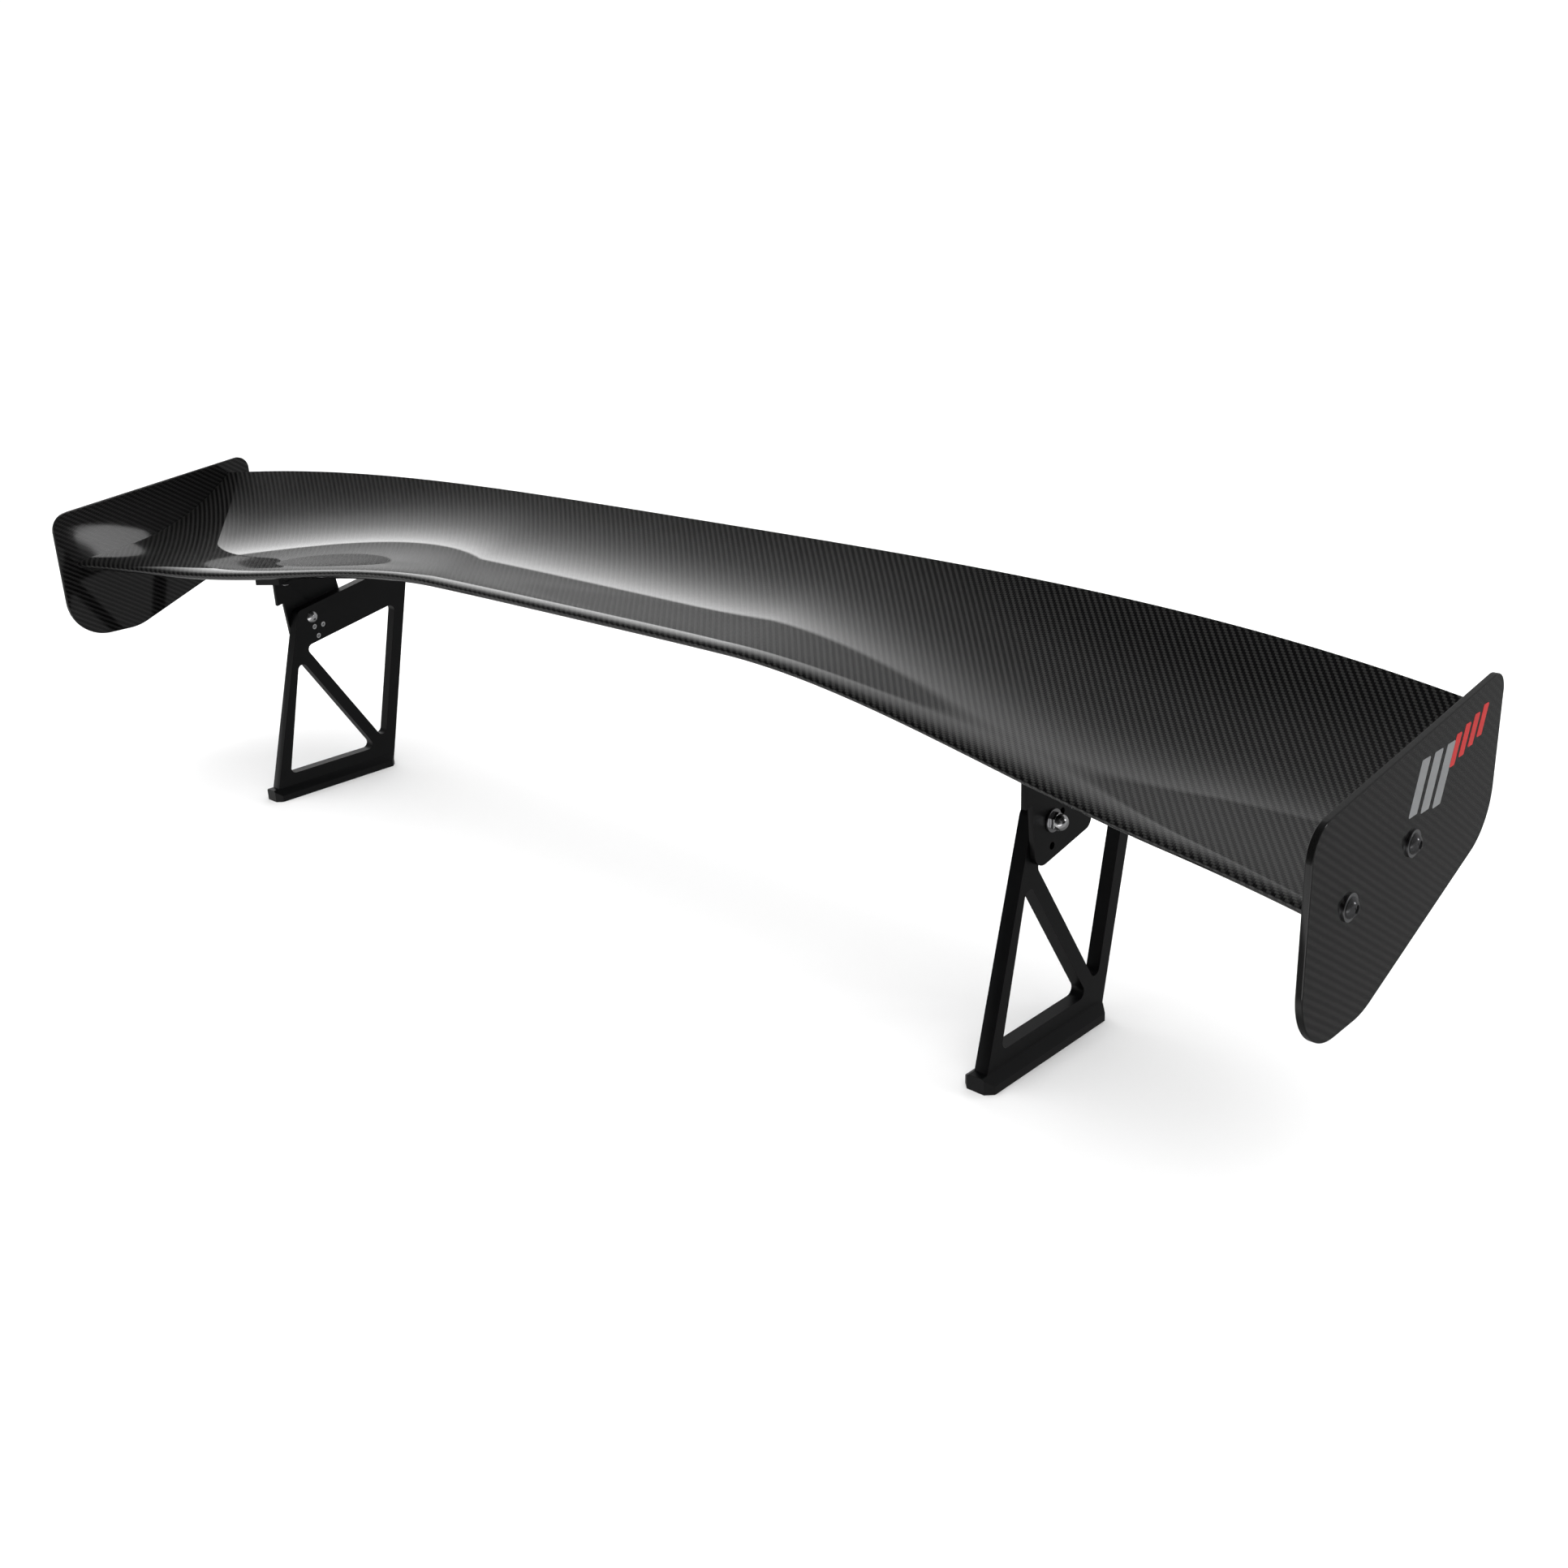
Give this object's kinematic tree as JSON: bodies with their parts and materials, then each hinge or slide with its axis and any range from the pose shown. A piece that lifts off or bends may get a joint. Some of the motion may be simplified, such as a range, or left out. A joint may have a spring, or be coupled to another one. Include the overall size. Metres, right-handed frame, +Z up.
{
  "type": "racing rear wing",
  "caption": "Hollow carbon-fibre rear wing with a raised middle, flat end plates, adjustable brackets and machined pedestals that bolt to a deck.",
  "frame": {"origin": "centre of the four deck bolt holes, on the plane of the feet's undersides, at midspan", "axes": "+X along the span, -Y into the wind, +Z up from the deck"},
  "size_m": [1.5622, 0.2822, 0.3367],
  "materials": {
    "carbon_gloss": "glossy clear-coated twill carbon fibre",
    "carbon_plate": "satin-gloss twill carbon fibre sheet",
    "carbon_core": "uncoated carbon laminate",
    "rib_resin": "filled resin block",
    "insert_brass": "threaded insert",
    "alloy": "as machined",
    "black_alloy": "black anodised, satin",
    "bright_steel": "polished",
    "steel": "zinc plated"
  },
  "bodies": {
    "pedestals": {"pedestal_left": "black_alloy", "pedestal_right": "black_alloy", "pivot_bolt_left": "bright_steel", "pivot_bolt_right": "bright_steel", "pivot_washer_left": "steel", "pivot_washer_right": "steel", "pivot_nut_left": "bright_steel", "pivot_nut_right": "bright_steel", "index_screws_left": "steel", "index_screws_right": "steel"},
    "wing": {"wing_upper_skin": "carbon_gloss", "wing_lower_skin": "carbon_gloss", "front_spar": "carbon_core", "rear_spar": "carbon_core", "tip_rib_left": "rib_resin", "tip_rib_right": "rib_resin", "tip_inserts_left": "insert_brass", "tip_inserts_right": "insert_brass", "end_plate_left": "carbon_plate", "end_plate_right": "carbon_plate", "plate_bolts_left": "bright_steel", "plate_bolts_right": "bright_steel", "plate_washers_left": "bright_steel", "plate_washers_right": "bright_steel", "hard_points_left": "alloy", "hard_points_right": "alloy", "bracket_left": "black_alloy", "bracket_right": "black_alloy", "bracket_screws_left": "steel", "bracket_screws_right": "steel"}
  },
  "joints": [
    {"name": "angle_of_attack", "type": "hinge", "parent": "pedestals", "child": "wing", "pos_m": [0, 0, 0.196], "axis": [1, 0, 0], "range_deg": [-8, 8]}
  ]
}
